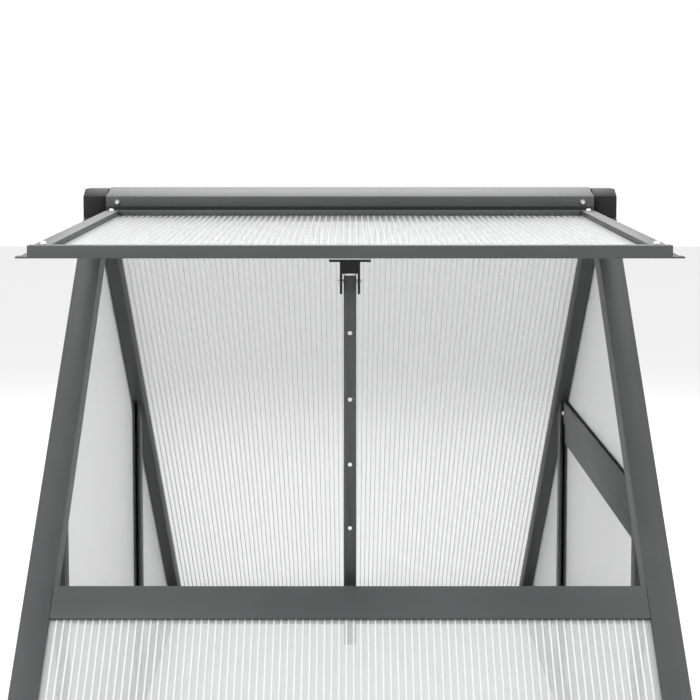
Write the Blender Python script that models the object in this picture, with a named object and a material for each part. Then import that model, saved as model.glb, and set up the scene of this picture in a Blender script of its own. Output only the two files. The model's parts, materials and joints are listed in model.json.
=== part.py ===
"""A-frame cold frame with a propped roof light: aluminium profiles, twin-wall sheets, hinged lid and stay.

Frame: X along the ridge, -Y to the front (the lid's side), +Z up, origin on the ground under the ridge.
Metres. The lid stands open, nearly level, with the stay's fifth hole at the peg above the sill."""

import math

import bmesh
import bpy
from mathutils import Vector

# Driving dimensions
WIDTH = 0.600  # over the outer faces of the two side frames
HEIGHT = 0.690  # ground to where the two slope planes meet
SLOPE = math.radians(35)  # both slopes, from level
SHEET = 0.004  # twin-wall polycarbonate
WALL = 0.0016  # extrusion wall
GAP = 0.0003  # between pieces that touch
FACE = 0.026  # width of a rafter's outer face
DEPTH = 0.030  # depth of a rafter, square to the slope

# Side frames
SLOT_OUT, SLOT_IN = 0.0055, 0.0105  # the sheet slot, measured in from a rafter's outer face
POST_Y = 0.372  # centre of each post, before and behind the ridge
POST_DEPTH = 0.030
POST_WIDTH = 0.010
POST_IN = 0.021  # inner face of a post, in from the side frame's outer face
RAIL_IN = 0.017  # inner face of the side rail, likewise
RAIL_TOP = 0.403
RAIL_UPPER, RAIL_LOWER = 0.030, 0.025  # the side rail's two steps
BASE_HEIGHT = 0.025

# Front and back
SILL_FROM, SILL_TO = 0.612, 0.652  # the sill across the front slope, as distances down the slope
SHEET_INSET = 0.003  # the glazing sits this far below the slope plane
GLAZING_LAP = 0.006  # how far a sheet runs under the sill or into a base rail

# Ridge
RIDGE_HALF = 0.050
RIDGE_PEAK, RIDGE_EDGE, RIDGE_SKIRT = 0.0045, -0.0048, -0.0160  # heights about the apex
RIDGE_BACK = -0.0370  # the back skirt reaches down to the back sheet
HINGE_DOWN = 0.052  # the hinge line, down the front slope from the apex
HINGE_PROUD = 0.0065  # and above the slope plane
LID_CLEAR = 0.0005  # under the shut lid
BEAD, GROOVE, GROOVE_OUT = 0.0028, 0.0032, 0.0047

# Lid, drawn level and then tipped by LID_TIP
LID_TIP = math.radians(1.1)
LID_THICK = 0.011
LID_RAIL = 0.0145
LID_BACK, LID_FRONT = 0.0075, 0.5720  # distances from the hinge line to the lid frame's two edges
LID_HALF = 0.2720
LID_LIP = 0.0115  # the weather lip outside the side rails
LID_REBATE = 0.005  # top of the rails above the sheet

# Stay
PIVOT_AT, PIVOT_DROP = 0.5020, 0.0365  # from the hinge line, and below the lid's top
STAY_WIDTH, STAY_FLANGE, STAY_WALL = 0.0113, 0.007, 0.0012
STAY_PITCH = 0.0638
FIRST_HOLE = 0.0480
STAY_HOLES = 5
STAY_TAIL = 0.057
STAY_NOSE = 0.006
STAY_LEAN = math.radians(14)  # from the vertical, at rest
HOLE_R = 0.0021
BRACKET_HALF, EAR, EAR_DROP = 0.0090, 0.0022, 0.0300
PLATE_HALF, PLATE_LONG, PLATE_THICK = 0.0185, 0.022, 0.0016
PAD_THICK = 0.0072

FOOT_PAD = 0.004  # plastic shoe under each rafter
END_CUT = 0.031  # the side base rails stop this far short of the rafters' feet

HALF = WIDTH / 2
COS, SIN = math.cos(SLOPE), math.sin(SLOPE)
APEX = Vector((0, 0, HEIGHT))
X, Y, Z = Vector((1, 0, 0)), Vector((0, 1, 0)), Vector((0, 0, 1))
DOWN = {"front": Vector((0, -COS, -SIN)), "back": Vector((0, COS, -SIN))}
INTO = {"front": Vector((0, SIN, -COS)), "back": Vector((0, -SIN, -COS))}
SIDE = {"left": -1, "right": 1}

FINISHES = {
    "powder_coat": ((0.075, 0.077, 0.080, 1), 0.45, 0.6),
    "grey_plastic": ((0.42, 0.43, 0.43, 1), 0.5, 0.0),
    "black_plastic": ((0.012, 0.012, 0.013, 1), 0.5, 0.0),
    "polycarbonate": ((0.86, 0.88, 0.88, 1), 0.25, 0.0),
    "bright_steel": ((0.75, 0.75, 0.74, 1), 0.3, 1.0),
}


def material(name):
    found = bpy.data.materials.get(name)
    if found:
        return found
    made = bpy.data.materials.new(name)
    made.use_nodes = True
    shader = made.node_tree.nodes["Principled BSDF"]
    colour, roughness, metallic = FINISHES[name]
    shader.inputs["Base Color"].default_value = colour
    shader.inputs["Roughness"].default_value = roughness
    shader.inputs["Metallic"].default_value = metallic
    return made


def finish(name, mesh_maker, finish_name, parent=None):
    """Turns a bmesh into a named object with its material, its faces pointing out."""
    bmesh.ops.recalc_face_normals(mesh_maker, faces=mesh_maker.faces)
    mesh = bpy.data.meshes.new(name)
    mesh_maker.to_mesh(mesh)
    mesh_maker.free()
    mesh.materials.append(material(finish_name))
    made = bpy.data.objects.new(name, mesh)
    bpy.context.scene.collection.objects.link(made)
    if parent:
        made.parent = parent
        made.matrix_parent_inverse = parent.matrix_world.inverted()
    return made


def prism_into(bm, outline, origin, across, up, along, start, end):
    """An outline, in the across and up directions, run along a direction between two planes (point, normal)."""
    ends = []
    for point, normal in (start, end):
        ring = []
        for a, b in outline:
            base = origin + across * a + up * b
            run = (point - base).dot(normal) / along.dot(normal)
            ring.append(bm.verts.new(base + along * run))
        ends.append(ring)
    bm.faces.new(ends[0])
    bm.faces.new(list(reversed(ends[1])))
    for i in range(len(outline)):
        j = (i + 1) % len(outline)
        bm.faces.new((ends[0][i], ends[1][i], ends[1][j], ends[0][j]))


def prism(name, outline, origin, across, up, along, start, end, finish_name="powder_coat"):
    bm = bmesh.new()
    prism_into(bm, outline, origin, across, up, along, start, end)
    return finish(name, bm, finish_name)


def channel(width, depth, slot_from, slot_to, wall=WALL):
    """A box section with a slot in its far side: the face is at 0, and the slot is at depth."""
    return [
        (0, 0), (width, 0), (width, depth), (slot_to, depth), (slot_to, depth - wall),
        (width - wall, depth - wall), (width - wall, wall), (wall, wall),
        (wall, depth - wall), (slot_from, depth - wall), (slot_from, depth), (0, depth),
    ]


def rod_into(bm, centre, axis, radius, length, sides=16):
    turn = axis.to_track_quat("Z", "Y").to_matrix().to_4x4()
    turn.translation = centre
    bmesh.ops.create_cone(
        bm, cap_ends=True, segments=sides, radius1=radius, radius2=radius, depth=length, matrix=turn
    )


def screw_head_into(bm, seat, out, radius=0.0034, height=0.0022):
    """A pan head on its seat, narrower at the top."""
    turn = out.to_track_quat("Z", "Y").to_matrix().to_4x4()
    turn.translation = seat + out * (height / 2)
    bmesh.ops.create_cone(
        bm, cap_ends=True, segments=16, radius1=radius, radius2=radius * 0.62, depth=height, matrix=turn
    )


def cut_with(target, cutter):
    """Takes the cutter's shape out of the target and removes the cutter."""
    modifier = target.modifiers.new("cut", "BOOLEAN")
    modifier.operation = "DIFFERENCE"
    modifier.object = cutter
    cutter.hide_render = True
    cutter.display_type = "WIRE"


def join(target, other):
    """Joins the other shape to the target and hides it."""
    modifier = target.modifiers.new("join", "BOOLEAN")
    modifier.operation = "UNION"
    modifier.object = other
    other.hide_render = True
    other.display_type = "WIRE"


# ---- Side frames ------------------------------------------------------------------------------


def rafter(side, end):
    sign = SIDE[side]
    top = (APEX + Y * (GAP if end == "back" else -GAP), Y)
    ground = (Z * FOOT_PAD, Z)
    return prism(
        f"{side}_{end}_rafter", channel(FACE, DEPTH, SLOT_OUT, SLOT_IN),
        APEX + X * (sign * HALF), X * -sign, INTO[end], DOWN[end], top, ground,
    )


def slope_foot(end, depth=0.0):
    """Where the plane at a depth under a slope meets the height of the foot pads."""
    sign = -1 if end == "front" else 1
    return Vector((0, sign * ((HEIGHT - FOOT_PAD) / math.tan(SLOPE) - depth / SIN), FOOT_PAD))


def foot(side, end):
    """A plastic shoe that closes the rafter's lower end and stands on the ground."""
    sign = SIDE[side]
    out = slope_foot(end).y
    inward = -1 if end == "back" else 1
    length = DEPTH / SIN
    outline = [(0, 0), (length, 0), (length, FOOT_PAD - GAP), (0, FOOT_PAD - GAP)]
    low, high = sorted((sign * HALF, sign * (HALF - FACE)))
    return prism(
        f"{side}_{end}_foot", outline, Vector((0, out, 0)), Y * inward, Z, X,
        (X * low, X), (X * high, X), "black_plastic",
    )


def post(side, end):
    """An upright tube from the base rail to the rafter's underside, inside the side sheet."""
    sign = SIDE[side]
    centre = -POST_Y if end == "front" else POST_Y
    inner = HALF - POST_IN
    under = APEX + INTO[end] * (DEPTH + GAP)
    outline = channel(POST_WIDTH, POST_DEPTH, 0.003, 0.007)
    turn = 1 if end == "front" else -1
    return prism(
        f"{side}_{end}_post", outline, Vector((sign * inner, centre - turn * POST_DEPTH / 2, 0)),
        X * sign, Y * turn, Z, (Z * (BASE_HEIGHT + GAP), Z), (under, INTO[end]),
    )


def base_side(side):
    """The side base rail, a slotted channel on the ground between the front and back base rails."""
    sign = SIDE[side]
    reach = abs(slope_foot("front", DEPTH).y) - END_CUT
    outline = channel(FACE, BASE_HEIGHT, SLOT_OUT, SLOT_IN)
    return prism(
        f"{side}_base_rail", outline, Vector((sign * HALF, 0, 0)), X * -sign, Z, Y,
        (Y * -reach, Y), (Y * reach, Y),
    )


def side_rail():
    """The stepped rail across the right side, under the upper side sheet."""
    inner = HALF - RAIL_IN
    outer = HALF - SLOT_OUT
    step = 0.0015
    lip = 0.006  # how far the outer groove stands above the step
    top, mid, low = RAIL_TOP, RAIL_TOP - RAIL_UPPER, RAIL_TOP - RAIL_UPPER - RAIL_LOWER
    groove_in, groove_out = HALF - SLOT_IN, HALF - SLOT_OUT
    web = groove_in - 0.0012
    outline = [
        (inner, top), (inner + WALL, top), (inner + WALL, mid), (web, mid), (web, top),
        (groove_in, top), (groove_in, mid + lip), (groove_out, mid + lip),
        (groove_out, low), (groove_out - WALL, low), (groove_out - WALL, mid - WALL),
        (inner + step + WALL, mid - WALL), (inner + step + WALL, low),
        (inner + step, low), (inner + step, mid), (inner, mid),
    ]
    reach = POST_Y - POST_DEPTH / 2 - GAP
    return prism(
        "right_side_rail", outline, Vector((0, 0, 0)), X, Z, Y, (Y * -reach, Y), (Y * reach, Y)
    )


def side_sheet_outline(top_height, low_height):
    """Half widths of the side glazing at a height: it runs up inside the rafters' slots."""
    lap = DEPTH - WALL - 0.004
    drop = lap / COS

    def half_at(height):
        return (HEIGHT - drop - height) / math.tan(SLOPE)

    if top_height is None:
        return [(-half_at(low_height), low_height), (half_at(low_height), low_height), (0, HEIGHT - drop)]
    return [
        (-half_at(low_height), low_height), (half_at(low_height), low_height),
        (half_at(top_height), top_height), (-half_at(top_height), top_height),
    ]


def side_sheet(name, side, top_height, low_height, shoulder=None):
    """Side glazing between two heights. A shoulder carries it higher outside the posts, past the rail's ends."""
    sign = SIDE[side]
    middle = sign * (HALF - (SLOT_OUT + SLOT_IN) / 2)
    outline = side_sheet_outline(shoulder or top_height, low_height)
    if shoulder:
        step = POST_Y - POST_DEPTH / 2 + GAP
        notch = [(step, shoulder), (step, top_height), (-step, top_height), (-step, shoulder)]
        outline = outline[:3] + notch + outline[3:]
    if low_height < BASE_HEIGHT:
        limit = abs(slope_foot("front", DEPTH).y) - END_CUT
        outline = [(max(-limit, min(limit, y)), z) for y, z in outline]
        tall = (HEIGHT - (DEPTH - WALL - 0.004) / COS) - limit * math.tan(SLOPE)
        outline = [outline[0], outline[1], (limit, tall)] + outline[2:] + [(-limit, tall)]
    return prism(
        name, outline, Vector((0, 0, 0)), Y, Z, X,
        (X * (middle - SHEET / 2), X), (X * (middle + SHEET / 2), X), "polycarbonate",
    )


# ---- Front and back -----------------------------------------------------------------------------


def sill():
    """The sill across the front slope: a channel, open below, that the lower front sheet slides up into."""
    inner = HALF - FACE - GAP
    width = SILL_TO - SILL_FROM
    back = DEPTH - 0.004
    outline = [
        (0, 0), (width, 0), (width, WALL), (WALL, WALL), (WALL, back - WALL),
        (width * 0.6, back - WALL), (width * 0.6, back), (0, back),
    ]
    return prism(
        "front_sill", outline, APEX + DOWN["front"] * SILL_FROM, DOWN["front"], INTO["front"], X,
        (X * -inner, X), (X * inner, X),
    )


def base_end(end):
    """The front or back base rail: its face lies in the slope, its foot on the ground, and it is open behind."""
    inner = HALF - FACE - GAP
    out = HEIGHT / math.tan(SLOPE)
    rise = BASE_HEIGHT / math.tan(SLOPE)
    inward = 1 if end == "front" else -1
    run = DEPTH / SIN
    wall = WALL / SIN
    outline = [
        (0, 0), (run, 0), (run, WALL), (wall + WALL * 2, WALL),
        (rise + wall - WALL * 1.7, BASE_HEIGHT - WALL), (rise + 0.012, BASE_HEIGHT - WALL),
        (rise + 0.012, BASE_HEIGHT), (rise, BASE_HEIGHT),
    ]
    return prism(
        f"{end}_base_rail", outline, Vector((0, -inward * out, 0)), Y * inward, Z, X,
        (X * -inner, X), (X * inner, X),
    )


def slope_sheet(name, end, start, stop):
    inner = HALF - FACE - GAP
    outline = [(start, SHEET_INSET), (stop, SHEET_INSET), (stop, SHEET_INSET + SHEET), (start, SHEET_INSET + SHEET)]
    return prism(
        name, outline, APEX, DOWN[end], INTO[end], X, (X * -inner, X), (X * inner, X), "polycarbonate"
    )


# ---- Ridge --------------------------------------------------------------------------------------

HINGE = APEX + DOWN["front"] * HINGE_DOWN - INTO["front"] * HINGE_PROUD


def arc(centre, radius, first, last, steps):
    """Points round a centre in the Y-Z plane, angles in degrees from +Y towards +Z."""
    for i in range(steps + 1):
        turn = math.radians(first + (last - first) * i / steps)
        yield (centre[0] + radius * math.cos(turn), centre[1] + radius * math.sin(turn))


def ridge_bar():
    """The ridge extrusion: a shallow roof over both slopes, with the hinge groove under its front skirt."""
    hinge = (HINGE.y, HINGE.z - HEIGHT)
    thick = WALL
    front = -RIDGE_HALF
    outline = [
        (front, RIDGE_EDGE), (0, RIDGE_PEAK), (RIDGE_HALF, RIDGE_EDGE), (RIDGE_HALF, RIDGE_BACK),
        (RIDGE_HALF - thick, RIDGE_BACK), (RIDGE_HALF - thick, RIDGE_EDGE - thick),
        (0, RIDGE_PEAK - thick), (front + thick + 0.0010, RIDGE_EDGE - thick),
    ]
    outline += list(arc(hinge, GROOVE_OUT, 62, -75, 10))
    outline += list(arc(hinge, GROOVE, -75, 118, 12))
    outline += list(arc(hinge, GROOVE_OUT, 118, 104, 1))
    outline += [(front, RIDGE_SKIRT)]
    inner = HALF - FACE - GAP
    return prism(
        "ridge_bar", outline, APEX, Y, Z, X, (X * -inner, X), (X * inner, X)
    )


def ridge_cap(side):
    """The moulded cap that joins the two rafters of a side and closes the ridge bar's end."""
    sign = SIDE[side]
    crown, shoulder, reach = 0.0030, -0.0050, 0.0420
    lift = GAP / COS

    def seat(y):
        return -abs(y) * math.tan(SLOPE) + lift

    outline = [
        (-reach, seat(reach)), (-reach, shoulder), (-reach + 0.020, crown), (reach - 0.020, crown),
        (reach, shoulder), (reach, seat(reach)), (0, seat(0)),
    ]
    low, high = sorted((sign * HALF, sign * (HALF - FACE)))
    return prism(
        f"{side}_ridge_cap", outline, APEX, Y, Z, X, (X * low, X), (X * high, X), "black_plastic"
    )


# ---- Lid ----------------------------------------------------------------------------------------


def lid_point(out, drop, x=0.0):
    """A place on the lid: a distance out from the hinge line, and a drop below the lid's top."""
    top = HINGE_PROUD - LID_CLEAR - LID_THICK  # the shut lid lies just clear of the slope
    level = Vector((x, -out, -drop - top))
    c, s = math.cos(LID_TIP), math.sin(LID_TIP)
    return HINGE + Vector((level.x, level.y * c - level.z * s, level.y * s + level.z * c))


LID_OUT = (lid_point(1, 0) - lid_point(0, 0)).normalized()
LID_DOWN = (lid_point(0, 1) - lid_point(0, 0)).normalized()


def lid_bar(name, outline, across_x, start, stop):
    """A lid rail. An across_x rail has its outline in out and drop; the others in x and drop, run outwards."""
    if across_x:
        return prism(
            name, outline, lid_point(0, 0), LID_OUT, LID_DOWN, X, (X * start, X), (X * stop, X)
        )
    return prism(
        name, outline, lid_point(0, 0), X, LID_DOWN, LID_OUT,
        (lid_point(start, 0), LID_OUT), (lid_point(stop, 0), LID_OUT),
    )


def lid_rear_rail():
    """The rear rail, with the bead that turns in the ridge bar's groove."""
    level = LID_THICK - HINGE_PROUD + LID_CLEAR
    sheet_top = LID_REBATE
    sheet_low = LID_REBATE + SHEET + 2 * GAP
    outer = LID_BACK
    inner = LID_BACK + LID_RAIL
    neck = 0.0007
    bead = []
    for i in range(15):
        turn = math.radians(16 + 328 * i / 14)
        bead.append((BEAD * math.cos(turn), level + BEAD * math.sin(turn)))
    outline = [
        (outer, level - neck), (outer, 0), (inner, 0), (inner, sheet_top), (outer + 0.004, sheet_top),
        (outer + 0.004, sheet_low), (inner, sheet_low), (inner, LID_THICK), (outer, LID_THICK),
        (outer, level + neck),
    ] + bead
    return lid_bar("lid_rear_rail", outline, True, -LID_HALF, LID_HALF)


def lid_front_rail():
    """The front rail, with a drip lip as wide as the lid's weather lips."""
    outer = LID_FRONT
    inner = LID_FRONT - LID_RAIL
    sheet_low = LID_REBATE + SHEET + 2 * GAP
    outline = [
        (outer, 0), (outer, LID_THICK), (inner, LID_THICK), (inner, sheet_low),
        (outer - 0.004, sheet_low), (outer - 0.004, LID_REBATE), (inner, LID_REBATE), (inner, 0),
    ]
    made = lid_bar("lid_front_rail", outline, True, -LID_HALF - 0.004, LID_HALF + 0.004)
    lip = [(inner, LID_THICK - 0.0015), (outer, LID_THICK - 0.0015), (outer, LID_THICK), (inner, LID_THICK)]
    reach = LID_HALF + LID_LIP + 0.003
    join(made, lid_bar("lid_front_lip_tool", lip, True, -reach, reach))
    return made


def lid_side_rail(side):
    """A side rail: a rebate for the sheet inside, and a thin weather lip outside that covers the rafter."""
    sign = SIDE[side]
    outer, inner = LID_HALF, LID_HALF - LID_RAIL
    sheet_low = LID_REBATE + SHEET + 2 * GAP
    lip = LID_HALF + LID_LIP
    outline = [
        (outer, 0), (outer, LID_THICK - 0.0015), (lip, LID_THICK - 0.0015), (lip, LID_THICK),
        (inner, LID_THICK), (inner, sheet_low), (outer - 0.004, sheet_low),
        (outer - 0.004, LID_REBATE), (inner, LID_REBATE), (inner, 0),
    ]
    outline = [(sign * x, drop) for x, drop in outline]
    return lid_bar(
        f"lid_{side}_rail", outline, False, LID_BACK + LID_RAIL + GAP, LID_FRONT - LID_RAIL - GAP
    )


def lid_sheet():
    half = LID_HALF - 0.004 - GAP
    outline = [
        (LID_BACK + 0.004 + GAP, LID_REBATE + GAP), (LID_FRONT - 0.004 - GAP, LID_REBATE + GAP),
        (LID_FRONT - 0.004 - GAP, LID_REBATE + GAP + SHEET), (LID_BACK + 0.004 + GAP, LID_REBATE + GAP + SHEET),
    ]
    return prism(
        "lid_sheet", outline, lid_point(0, 0), LID_OUT, LID_DOWN, X, (X * -half, X), (X * half, X),
        "polycarbonate",
    )


# ---- Stay ---------------------------------------------------------------------------------------

PIVOT = lid_point(PIVOT_AT, PIVOT_DROP)
STAY_ALONG = Vector((0, math.sin(STAY_LEAN), -math.cos(STAY_LEAN)))
STAY_ACROSS = Vector((0, math.cos(STAY_LEAN), math.sin(STAY_LEAN)))


def stay_pad():
    top = LID_REBATE + GAP + SHEET + GAP
    half = PLATE_HALF
    outline = [
        (PIVOT_AT - PLATE_LONG / 2, top), (PIVOT_AT + PLATE_LONG / 2, top),
        (PIVOT_AT + PLATE_LONG / 2, top + PAD_THICK), (PIVOT_AT - PLATE_LONG / 2, top + PAD_THICK),
    ]
    return prism(
        "stay_bracket_pad", outline, lid_point(0, 0), LID_OUT, LID_DOWN, X, (X * -half, X), (X * half, X),
        "grey_plastic",
    )


PLATE_TOP = LID_REBATE + SHEET + 3 * GAP + PAD_THICK


def stay_bracket():
    """A folded bracket: a plate under the lid, a short web, and two ears that hold the pivot pin."""
    top = PLATE_TOP
    bm = bmesh.new()
    ear_low = top + EAR_DROP
    web_low = top + 0.0120
    b, e, p = BRACKET_HALF, BRACKET_HALF - EAR, PLATE_HALF
    outline = [
        (-p, top), (p, top), (p, top + PLATE_THICK), (b, top + PLATE_THICK), (b, ear_low), (e, ear_low),
        (e, top + PLATE_THICK), (-e, top + PLATE_THICK), (-e, ear_low), (-b, ear_low),
        (-b, top + PLATE_THICK), (-p, top + PLATE_THICK),
    ]
    prism_into(
        bm, outline, lid_point(0, 0), X, LID_DOWN, LID_OUT,
        (lid_point(PIVOT_AT - PLATE_LONG / 2 + 0.004, 0), LID_OUT),
        (lid_point(PIVOT_AT + PLATE_LONG / 2, 0), LID_OUT),
    )
    made = finish("stay_bracket", bm, "black_plastic")
    web = bmesh.new()
    near = PIVOT_AT + PLATE_LONG / 2 - WALL
    web_outline = [(-e - 0.0004, top + PLATE_THICK - 0.0004), (e + 0.0004, top + PLATE_THICK - 0.0004),
                   (e + 0.0004, web_low), (-e - 0.0004, web_low)]
    prism_into(
        web, web_outline, lid_point(0, 0), X, LID_DOWN, LID_OUT,
        (lid_point(near, 0), LID_OUT), (lid_point(near + WALL * 0.8, 0), LID_OUT),
    )
    join(made, finish("stay_bracket_web_tool", web, "black_plastic"))
    hole = bmesh.new()
    rod_into(hole, PIVOT, X, HOLE_R, 0.04)
    cut_with(made, helper("bracket_hole_tool", hole))
    return made


def helper(name, bm):
    return finish(name, bm, "black_plastic")


def stay_arm():
    """The stay: a channel strip with holes along it for the peg, and a pin hole through its flanges."""
    half = STAY_WIDTH / 2
    wall = STAY_WALL
    front, back = -STAY_FLANGE / 2, STAY_FLANGE / 2
    outline = [
        (-half, front), (half, front), (half, back), (half - wall, back), (half - wall, front + wall),
        (-half + wall, front + wall), (-half + wall, back), (-half, back),
    ]
    length = FIRST_HOLE + STAY_PITCH * (STAY_HOLES - 1) + STAY_TAIL
    made = prism(
        "stay_arm", outline, PIVOT, X, STAY_ACROSS, STAY_ALONG,
        (PIVOT - STAY_ALONG * STAY_NOSE, STAY_ALONG), (PIVOT + STAY_ALONG * length, STAY_ALONG),
    )
    holes = bmesh.new()
    for i in range(STAY_HOLES):
        rod_into(holes, PIVOT + STAY_ALONG * (FIRST_HOLE + STAY_PITCH * i), STAY_ACROSS, HOLE_R, 0.02)
    cut_with(made, helper("stay_holes_tool", holes))
    pin_hole = bmesh.new()
    rod_into(pin_hole, PIVOT, X, HOLE_R, 0.03)
    cut_with(made, helper("stay_pin_hole_tool", pin_hole))
    return made


def stay_pin():
    bm = bmesh.new()
    rod_into(bm, PIVOT, X, HOLE_R - 0.0004, 2 * BRACKET_HALF + 0.004)
    return finish("stay_pin", bm, "bright_steel")


def stay_peg():
    """The stud on the sill's upper edge that the stay's last hole drops over. It stops just short of the stay."""
    hole = PIVOT + STAY_ALONG * (FIRST_HOLE + STAY_PITCH * (STAY_HOLES - 1)) - APEX
    depth = hole.dot(INTO["front"])
    foot_at = SILL_FROM - GAP
    length = foot_at - hole.dot(DOWN["front"]) - STAY_FLANGE / 2 - 0.0015
    bm = bmesh.new()
    middle = APEX + INTO["front"] * depth + DOWN["front"] * (foot_at - length / 2)
    rod_into(bm, middle, DOWN["front"], HOLE_R - 0.0005, length)
    return finish("stay_peg", bm, "bright_steel")


# ---- Fasteners ----------------------------------------------------------------------------------


def screws(name, seats):
    """One pan head for each seat, just clear of the face it is driven into."""
    for i, (seat, out) in enumerate(seats):
        bm = bmesh.new()
        screw_head_into(bm, seat + out * GAP, out)
        finish(f"{name}_{i + 1}", bm, "bright_steel")


def ridge_screws():
    seats = []
    for sign in (-1, 1):
        seats.append((Vector((sign * 0.2610, -RIDGE_HALF, HEIGHT - 0.0112)), -Y))
        seats.append((Vector((sign * 0.2610, RIDGE_HALF, HEIGHT - 0.0112)), Y))
    screws("ridge_screw", seats)


def lid_screws():
    seats = []
    for sign in (-1, 1):
        for out in (LID_BACK + LID_RAIL + 0.006, LID_FRONT - LID_RAIL - 0.006):
            seats.append((lid_point(out, 0, sign * (LID_HALF - LID_RAIL / 2)), -LID_DOWN))
    screws("lid_screw", seats)


def side_rail_screws():
    seats = []
    inner = HALF - RAIL_IN
    for y in (-POST_Y + POST_DEPTH / 2 + 0.010, POST_Y - POST_DEPTH / 2 - 0.010):
        seats.append((Vector((inner, y, RAIL_TOP - RAIL_UPPER / 2)), -X))
    screws("side_rail_screw", seats)


def build():
    for old in list(bpy.data.objects):
        bpy.data.objects.remove(old)
    for side in SIDE:
        for end in DOWN:
            rafter(side, end)
            foot(side, end)
            post(side, end)
        base_side(side)
        ridge_cap(side)
    side_rail()
    slot_floor = 0.004
    side_sheet("left_side_sheet", "left", None, BASE_HEIGHT - slot_floor)
    rail_low = RAIL_TOP - RAIL_UPPER - RAIL_LOWER - GAP
    upper_low = RAIL_TOP - RAIL_UPPER + 0.006 + GAP
    side_sheet(
        "right_lower_side_sheet", "right", rail_low, BASE_HEIGHT - slot_floor, upper_low - GAP
    )
    side_sheet("right_upper_side_sheet", "right", None, upper_low)
    sill()
    base_end("front")
    base_end("back")
    sheet_foot = (HEIGHT - BASE_HEIGHT - (SHEET_INSET + SHEET) * COS) / SIN - 2 * GAP
    slope_sheet("front_sheet", "front", SILL_TO - GLAZING_LAP, sheet_foot)
    slope_sheet("back_sheet", "back", (RIDGE_HALF - 0.010) / COS, sheet_foot)
    ridge_bar()
    ridge_screws()
    lid_rear_rail()
    lid_front_rail()
    lid_sheet()
    lid_screws()
    for side in SIDE:
        lid_side_rail(side)
    stay_pad()
    stay_bracket()
    stay_arm()
    stay_pin()
    stay_peg()
    side_rail_screws()


build()
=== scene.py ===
"""Finished look of the cold frame: softened profiles, twin-wall sheets, moulded caps, plated screws."""

import json
import math

import bmesh
import bpy
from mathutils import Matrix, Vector


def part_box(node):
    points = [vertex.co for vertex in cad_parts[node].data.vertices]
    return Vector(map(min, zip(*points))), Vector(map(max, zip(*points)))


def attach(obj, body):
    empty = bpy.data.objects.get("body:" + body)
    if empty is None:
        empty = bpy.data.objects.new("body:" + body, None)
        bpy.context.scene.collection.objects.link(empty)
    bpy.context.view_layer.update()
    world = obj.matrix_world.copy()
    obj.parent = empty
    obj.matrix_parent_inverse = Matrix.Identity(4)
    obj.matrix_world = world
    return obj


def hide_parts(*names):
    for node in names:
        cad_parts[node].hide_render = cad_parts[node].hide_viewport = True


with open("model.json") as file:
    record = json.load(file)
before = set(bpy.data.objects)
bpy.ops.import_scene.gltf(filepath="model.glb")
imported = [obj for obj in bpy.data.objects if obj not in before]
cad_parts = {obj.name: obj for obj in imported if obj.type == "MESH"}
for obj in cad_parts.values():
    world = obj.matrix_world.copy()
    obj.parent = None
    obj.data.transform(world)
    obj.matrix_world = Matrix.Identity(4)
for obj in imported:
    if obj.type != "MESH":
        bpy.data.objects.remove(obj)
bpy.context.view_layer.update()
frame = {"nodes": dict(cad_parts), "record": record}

scene = bpy.context.scene
body_of_node = {
    node: body for body, nodes in frame["record"]["behaviour"]["bodies"].items() for node in nodes
}
slot_of_node = {entry["node"]: entry["material_slot"] for entry in frame["record"]["subparts"]}


# ---- Camera -------------------------------------------------------------------------------------
# Just above the ridge, a little over two metres in front, and pitched down a few degrees.

CROWN = 0.0045  # the ridge bar stands this far above the meeting of the slopes
RIDGE_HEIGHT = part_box("ridge_bar")[1][2] - CROWN
CAMERA_BACK = 2.4163
CAMERA_ABOVE_RIDGE = 0.0626
CAMERA_PITCH = math.radians(5.8)
LENS_MM = 108.33

camera_data = bpy.data.cameras.new("camera")
camera_data.lens = LENS_MM
camera = bpy.data.objects.new("camera", camera_data)
camera.location = (0, -CAMERA_BACK, RIDGE_HEIGHT + CAMERA_ABOVE_RIDGE)
camera.rotation_euler = (math.pi / 2 - CAMERA_PITCH, 0, 0)
scene.collection.objects.link(camera)
scene.camera = camera


# ---- Painted profiles ---------------------------------------------------------------------------
# Extruded aluminium, sawn to length and powder coated dark grey. Every long edge is slightly
# rounded by the die, and the coat has a fine orange-peel texture.

EXTRUSION_ROUND = 0.00035
SHARP_EDGE = 0.5  # radians between faces, past which an edge is rounded
ORANGE_PEEL = 2600  # noise scales, per metre
MOULD_GRAIN = 1700
PLATING_GRAIN = 900
TEXTURE_DEPTH = 0.0001


def plain_material(name, colour, roughness, metallic=0.0):
    made = bpy.data.materials.new(name)
    made.use_nodes = True
    shader = made.node_tree.nodes["Principled BSDF"]
    shader.inputs["Base Color"].default_value = colour
    shader.inputs["Roughness"].default_value = roughness
    shader.inputs["Metallic"].default_value = metallic
    return made, made.node_tree, shader


def add_noise(tree, scale, detail=3.0):
    place = tree.nodes.new("ShaderNodeTexCoord")
    noise = tree.nodes.new("ShaderNodeTexNoise")
    noise.inputs["Scale"].default_value = scale
    noise.inputs["Detail"].default_value = detail
    tree.links.new(place.outputs["Object"], noise.inputs["Vector"])
    return noise


def add_bump(tree, shader, source, strength, distance):
    bump = tree.nodes.new("ShaderNodeBump")
    bump.inputs["Strength"].default_value = strength
    bump.inputs["Distance"].default_value = distance
    tree.links.new(source.outputs["Fac"], bump.inputs["Height"])
    tree.links.new(bump.outputs["Normal"], shader.inputs["Normal"])


def add_mottle(tree, shader, source, darker, lighter):
    """Lets the colour wander between two close shades."""
    ramp = tree.nodes.new("ShaderNodeValToRGB")
    ramp.color_ramp.elements[0].position = 0.35
    ramp.color_ramp.elements[0].color = darker
    ramp.color_ramp.elements[1].position = 0.65
    ramp.color_ramp.elements[1].color = lighter
    tree.links.new(source.outputs["Fac"], ramp.inputs["Fac"])
    tree.links.new(ramp.outputs["Color"], shader.inputs["Base Color"])


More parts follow.
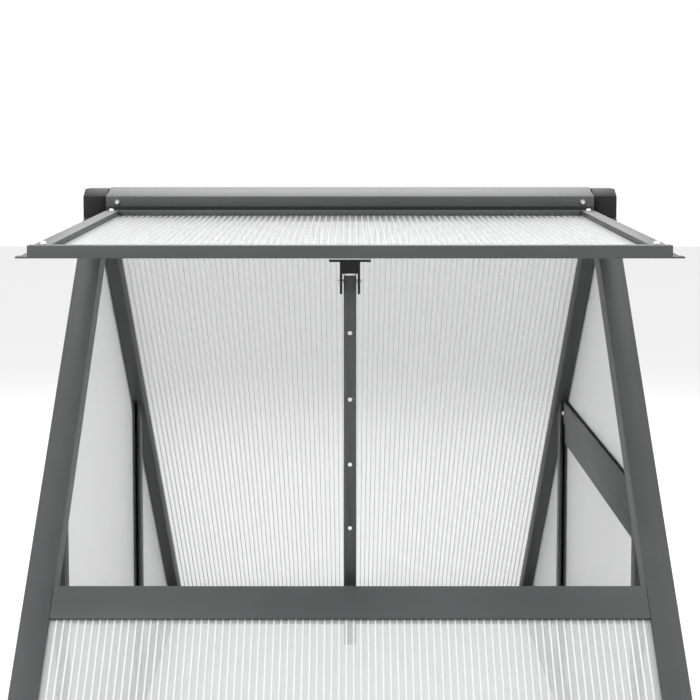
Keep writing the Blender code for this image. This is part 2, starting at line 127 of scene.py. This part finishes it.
def powder_coat():
    made, tree, shader = plain_material("powder_coat_finish", (0.043, 0.044, 0.045, 1), 0.5)
    add_bump(tree, shader, add_noise(tree, ORANGE_PEEL), 0.25, TEXTURE_DEPTH)
    add_mottle(tree, shader, add_noise(tree, 9), (0.039, 0.040, 0.041, 1), (0.048, 0.049, 0.050, 1))
    return made


def black_moulding():
    made, tree, shader = plain_material("black_moulding_finish", (0.006, 0.006, 0.006, 1), 0.55)
    shader.inputs["Specular IOR Level"].default_value = 0.25
    add_bump(tree, shader, add_noise(tree, MOULD_GRAIN), 0.35, TEXTURE_DEPTH)
    add_mottle(tree, shader, add_noise(tree, 30), (0.005, 0.005, 0.005, 1), (0.008, 0.008, 0.008, 1))
    return made


def grey_moulding():
    made, tree, shader = plain_material("grey_moulding_finish", (0.42, 0.43, 0.43, 1), 0.5)
    add_bump(tree, shader, add_noise(tree, MOULD_GRAIN), 0.3, TEXTURE_DEPTH)
    add_mottle(tree, shader, add_noise(tree, 40), (0.39, 0.40, 0.40, 1), (0.45, 0.46, 0.46, 1))
    return made


def plated_steel():
    made, tree, shader = plain_material("plated_steel_finish", (0.8, 0.8, 0.79, 1), 0.28, 1.0)
    add_bump(tree, shader, add_noise(tree, PLATING_GRAIN), 0.15, TEXTURE_DEPTH)
    add_mottle(tree, shader, add_noise(tree, 250), (0.72, 0.72, 0.71, 1), (0.84, 0.84, 0.83, 1))
    return made


finishes = {
    "powder_coat": powder_coat(),
    "black_plastic": black_moulding(),
    "grey_plastic": grey_moulding(),
    "bright_steel": plated_steel(),
}


def merged_copy(node):
    """A bmesh of a solid with its loose triangles sewn and its flat faces whole."""
    bm = bmesh.new()
    bm.from_mesh(frame["nodes"][node].data)
    bmesh.ops.remove_doubles(bm, verts=bm.verts, dist=1e-6)
    bmesh.ops.dissolve_limit(bm, angle_limit=0.01, verts=bm.verts, edges=bm.edges)
    return bm


def place(name, bm, finish, node, smooth_angle=0.6):
    """Makes the finished piece that stands for a node, on that node's body."""
    mesh = bpy.data.meshes.new(name)
    bm.to_mesh(mesh)
    bm.free()
    mesh.materials.append(finish)
    mesh.shade_smooth()
    mesh.set_sharp_from_angle(angle=smooth_angle)
    piece = bpy.data.objects.new(name, mesh)
    scene.collection.objects.link(piece)
    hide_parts(node)
    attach(piece, body_of_node[node])
    return piece


def softened(node, amount):
    bm = merged_copy(node)
    sharp = [edge for edge in bm.edges if edge.is_manifold and edge.calc_face_angle() > SHARP_EDGE]
    bmesh.ops.bevel(
        bm, geom=sharp, offset=amount, offset_type="OFFSET", segments=2, profile=0.5,
        affect="EDGES", clamp_overlap=True, material=-1,
    )
    place(f"{node}_finished", bm, finishes[slot_of_node[node]], node)


for node, slot_name in slot_of_node.items():
    if slot_name == "powder_coat":
        softened(node, EXTRUSION_ROUND)


# ---- Mouldings ----------------------------------------------------------------------------------
# The ridge caps, shoes, stay bracket and its pad are injection moulded, with rounder edges.

MOULD_ROUND = 0.0006

for node, slot_name in slot_of_node.items():
    if slot_name in ("black_plastic", "grey_plastic"):
        softened(node, MOULD_ROUND)


# ---- Screws, pin and peg ------------------------------------------------------------------------
# Zinc-plated pan heads with a round driver recess. The pin and peg are plain plated rod.

RECESS_RIM = 0.0007
RECESS_DEPTH = 0.0009
RECESS_DRAFT = 0.0001
ROUND_SIDES = 8  # only the ends of a round piece have more sides than this

for node, slot_name in slot_of_node.items():
    if slot_name != "bright_steel":
        continue
    bm = merged_copy(node)
    if "screw" in node:
        round_faces = [face for face in bm.faces if len(face.verts) > ROUND_SIDES]
        ends = sorted(round_faces, key=lambda face: face.calc_area())
        bmesh.ops.inset_individual(bm, faces=ends[:1], thickness=RECESS_RIM, depth=0.0)
        bmesh.ops.inset_individual(bm, faces=ends[:1], thickness=RECESS_DRAFT, depth=-RECESS_DEPTH)
    place(f"{node}_finished", bm, finishes["bright_steel"], node)


# ---- Twin-wall sheets ---------------------------------------------------------------------------
# Extruded polycarbonate: two thin skins joined by ribs. The ribs run down each slope, and upright
# in the sides, so rain and condensation drain out of the flutes.

RIB_PITCH = 0.0066
SKIN = 0.0005
RIB = 0.0013  # with the fillets that join it to the skins
SHEET_THICK = 0.004


def sheet_material(name, colour, alpha):
    made, tree, shader = plain_material(name, colour, 0.22)
    shader.inputs["Alpha"].default_value = alpha
    add_bump(tree, shader, add_noise(tree, 120), 0.08, 0.0003)
    return made


twin_wall = sheet_material("twin_wall_skin", (0.86, 0.87, 0.87, 1), 0.17)
twin_wall_rib = sheet_material("twin_wall_rib", (0.97, 0.97, 0.97, 1), 0.55)


def slab(bm, outline, normal, thickness):
    """A flat outline with a thickness."""
    face = bm.faces.new([bm.verts.new(point) for point in outline])
    grown = bmesh.ops.extrude_face_region(bm, geom=[face])
    moved = [item for item in grown["geom"] if isinstance(item, bmesh.types.BMVert)]
    bmesh.ops.translate(bm, verts=moved, vec=normal * thickness)


def sheet_corners(node):
    """The outline of a sheet's largest face, in order, and the way in to its other face."""
    bm = merged_copy(node)
    face = max(bm.faces, key=lambda one: one.calc_area())
    outline = [vert.co.copy() for vert in face.verts]
    inward = -face.normal.copy()
    bm.free()
    return outline, inward


def crossings(outline, across, at):
    """The points where the outline crosses a plane square to the across direction."""
    found = []
    for here, there in zip(outline, outline[1:] + outline[:1]):
        a, b = here.dot(across) - at, there.dot(across) - at
        if (a < 0) != (b < 0):
            found.append(here.lerp(there, a / (a - b)))
    return found


def fluted_sheet(node, across):
    outline, inward = sheet_corners(node)
    bm = bmesh.new()
    slab(bm, outline, inward, SKIN)
    slab(bm, [point + inward * (SHEET_THICK - SKIN) for point in outline], inward, SKIN)
    skin_faces = len(bm.faces)
    low = min(point.dot(across) for point in outline)
    high = max(point.dot(across) for point in outline)
    count = int((high - low) / RIB_PITCH)
    start = (low + high - (count - 1) * RIB_PITCH) / 2
    for i in range(count):
        ends = crossings(outline, across, start + i * RIB_PITCH)
        if len(ends) != 2:
            continue
        a, b = (point + inward * SKIN - across * (RIB / 2) for point in ends)
        depth = inward * (SHEET_THICK - 2 * SKIN)
        slab(bm, [a, b, b + depth, a + depth], across, RIB)
    bmesh.ops.recalc_face_normals(bm, faces=bm.faces)
    bm.faces.ensure_lookup_table()
    for face in bm.faces[skin_faces:]:
        face.material_index = 1
    piece = place(f"{node}_finished", bm, twin_wall, node)
    piece.data.materials.append(twin_wall_rib)


for node in ("front_sheet", "back_sheet", "lid_sheet"):
    fluted_sheet(node, Vector((1, 0, 0)))
for node in ("left_side_sheet", "right_lower_side_sheet", "right_upper_side_sheet"):
    fluted_sheet(node, Vector((0, 1, 0)))


# ---- Floor and light ----------------------------------------------------------------------------
# A plain pale floor just under the shoes, an even white surround, and three soft lamps.

FLOOR_DROP = 0.0005
LAMPS_AIM = Vector((0, 0, 0.4))
LAMPS = {  # where each stands, its size in metres and its power in watts
    "key": ((-1.8, -2.2, 2.6), 1.6, 60),
    "fill": ((2.2, -1.6, 1.8), 2.0, 30),
    "rear": ((0, 2.4, 2.4), 2.0, 40),
}

floor_mesh = bpy.data.meshes.new("floor")
bm = bmesh.new()
bmesh.ops.create_grid(bm, x_segments=1, y_segments=1, size=12)
bmesh.ops.translate(bm, verts=bm.verts, vec=(0, 0, -FLOOR_DROP))
bm.to_mesh(floor_mesh)
bm.free()
floor_material, _, _ = plain_material("floor_finish", (0.85, 0.85, 0.85, 1), 0.8)
floor_mesh.materials.append(floor_material)
floor = bpy.data.objects.new("floor", floor_mesh)
scene.collection.objects.link(floor)

world = bpy.data.worlds.new("studio")
world.use_nodes = True
world.node_tree.nodes["Background"].inputs["Color"].default_value = (1, 1, 1, 1)
world.node_tree.nodes["Background"].inputs["Strength"].default_value = 1.0
scene.world = world
scene.view_settings.view_transform = "Standard"

for name, (spot, size, power) in LAMPS.items():
    lamp = bpy.data.lights.new(name, "AREA")
    lamp.size = size
    lamp.energy = power
    holder = bpy.data.objects.new(name, lamp)
    holder.location = spot
    holder.rotation_euler = (LAMPS_AIM - Vector(spot)).to_track_quat("-Z", "Y").to_euler()
    scene.collection.objects.link(holder)
